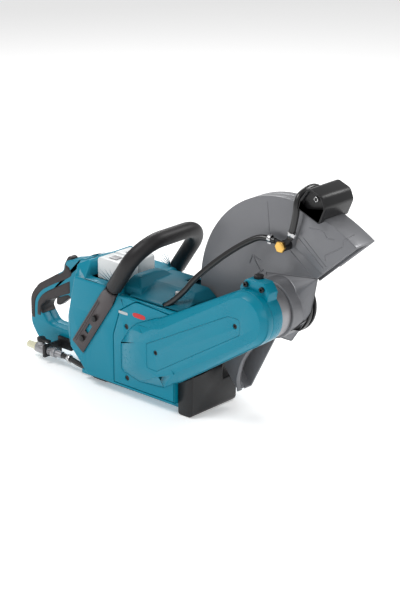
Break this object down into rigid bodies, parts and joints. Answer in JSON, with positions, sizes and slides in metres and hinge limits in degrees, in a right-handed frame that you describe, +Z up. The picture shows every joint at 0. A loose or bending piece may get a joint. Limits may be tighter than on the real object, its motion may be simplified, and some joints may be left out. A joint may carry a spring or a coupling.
{
  "type": "rescue saw",
  "caption": "Cordless power cutter with a turning wheel guard, belt-driven spindle on an arm, slide-in batteries, water line, arched front handle and rear trigger handle; no cutting wheel.",
  "frame": {"origin": "centre of the wheel seat on the spindle axis", "axes": "+X forwards to the guard's open side, +Y along the spindle to the outer flange (the saw's left), +Z up"},
  "size_m": [0.7346, 0.1916, 0.4372],
  "materials": {
    "housing_plastic": "moulded, satin",
    "cover_plastic": "moulded, satin",
    "arm_casting": "satin paint on a light casting",
    "black_plastic": "fine grain",
    "soft_rubber": "matt",
    "bright_steel": "turned and plated",
    "black_steel": "black oxide",
    "handle_steel": "satin paint",
    "circuit_plastic": "plain",
    "terminal_brass": "bright",
    "battery_plastic": "fine grain",
    "bare_aluminium": "cast and machined",
    "guard_metal": "glossy grey paint",
    "nipple_plastic": "natural"
  },
  "bodies": {
    "saw": {"housing_right": "housing_plastic", "housing_left": "housing_plastic", "top_cover": "cover_plastic", "side_cover": "housing_plastic", "bottom_pan": "housing_plastic", "base_block": "black_plastic", "rear_feet": "soft_rubber", "housing_screws": "black_steel", "handle_rubber_back": "soft_rubber", "handle_rubber_front": "soft_rubber", "trigger_switch": "black_plastic", "control_board": "circuit_plastic", "battery_tray": "black_plastic", "battery_terminals": "terminal_brass", "motor_case": "bare_aluminium", "motor_stator": "bright_steel", "motor_bearings": "bright_steel", "drive_belt": "soft_rubber", "arm_base": "arm_casting", "arm_cover": "arm_casting", "arm_screws": "black_steel", "bearing_case": "bare_aluminium", "spindle_bearings": "bright_steel", "guard_retainer": "bright_steel", "lower_hose": "soft_rubber", "hose_clamps": "bright_steel", "inlet_nipple": "nipple_plastic", "valve_body": "bare_aluminium", "valve_bracket": "black_plastic", "front_handle_tube": "handle_steel", "front_handle_sleeve": "soft_rubber", "front_handle_bolts": "black_steel"},
    "guard": {"guard_near_half": "guard_metal", "guard_far_half": "guard_metal", "guard_hood": "guard_metal", "guard_grip": "black_plastic", "guard_screws": "black_steel", "tee_fitting": "black_steel", "banjo_bolts": "terminal_brass", "crossover_hose": "soft_rubber", "guard_hose_clamps": "bright_steel", "upper_hose": "soft_rubber"},
    "spindle_set": {"spindle": "bright_steel", "inner_flange": "bright_steel", "spindle_pulley": "bright_steel"},
    "wheel_clamp": {"outer_flange": "bright_steel", "flange_bolt": "bright_steel"},
    "motor_shaft": {"motor_rotor": "bright_steel", "motor_pulley": "bright_steel", "cooling_fan": "black_plastic"},
    "trigger": {"trigger": "black_plastic"},
    "lock_off_lever": {"lock_off_lever": "soft_rubber"},
    "valve_lever": {"valve_lever": "black_plastic"},
    "shaft_lock": {"shaft_lock": "black_plastic"},
    "power_button": {"power_button": "black_plastic"},
    "battery_right": {"battery_right": "battery_plastic"},
    "battery_left": {"battery_left": "battery_plastic"},
    "battery_button_right": {"battery_button_right": "circuit_plastic"},
    "battery_button_left": {"battery_button_left": "circuit_plastic"}
  },
  "joints": [
    {"name": "guard_turn", "type": "hinge", "parent": "saw", "child": "guard", "pos_m": [0, 0, 0], "axis": [0, 1, 0], "range_deg": [-15, 45], "deforming": ["upper_hose"]},
    {"name": "spindle_spin", "type": "hinge", "parent": "saw", "child": "spindle_set", "pos_m": [0, 0, 0], "axis": [0, 1, 0], "continuous": true},
    {"name": "clamp_removal", "type": "slide", "parent": "spindle_set", "child": "wheel_clamp", "axis": [0, 1, 0], "range_m": [0, 0.06]},
    {"name": "motor_spin", "type": "hinge", "parent": "saw", "child": "motor_shaft", "pos_m": [-0.17491, -0.05, -0.10303], "axis": [0, 1, 0], "continuous": true},
    {"name": "trigger_press", "type": "hinge", "parent": "saw", "child": "trigger", "pos_m": [-0.48, -0.034, -0.082], "axis": [0, 1, 0], "range_deg": [0, 9], "stiffness_Nm_per_rad": 1.2, "springref_deg": -11.46},
    {"name": "lock_off_press", "type": "hinge", "parent": "saw", "child": "lock_off_lever", "pos_m": [-0.481, -0.034, -0.038], "axis": [0, -1, 0], "range_deg": [0, 10], "stiffness_Nm_per_rad": 0.8, "springref_deg": -11.46},
    {"name": "shaft_lock_press", "type": "slide", "parent": "saw", "child": "shaft_lock", "axis": [0, 0, -1], "range_m": [0, 0.005], "stiffness_N_per_m": 600, "springref_m": -0.003},
    {"name": "power_button_press", "type": "slide", "parent": "saw", "child": "power_button", "axis": [0, 0, -1], "range_m": [0, 0.002], "stiffness_N_per_m": 800, "springref_m": -0.001},
    {"name": "battery_right_lift", "type": "slide", "parent": "saw", "child": "battery_right", "axis": [0, 0, 1], "range_m": [0, 0.11]},
    {"name": "battery_left_lift", "type": "slide", "parent": "saw", "child": "battery_left", "axis": [0, 0, 1], "range_m": [0, 0.11]},
    {"name": "battery_button_right_press", "type": "slide", "parent": "battery_right", "child": "battery_button_right", "axis": [0, 0, -1], "range_m": [0, 0.003], "stiffness_N_per_m": 600, "springref_m": -0.001},
    {"name": "battery_button_left_press", "type": "slide", "parent": "battery_left", "child": "battery_button_left", "axis": [0, 0, -1], "range_m": [0, 0.003], "stiffness_N_per_m": 600, "springref_m": -0.001},
    {"name": "valve_turn", "type": "hinge", "parent": "saw", "child": "valve_lever", "pos_m": [-0.52, -0.083, -0.18], "axis": [0, 0, -1], "range_deg": [0, 90]}
  ],
  "couplings": [
    {"joint": "motor_spin", "follows": "spindle_spin", "ratio": 1.3636}
  ]
}
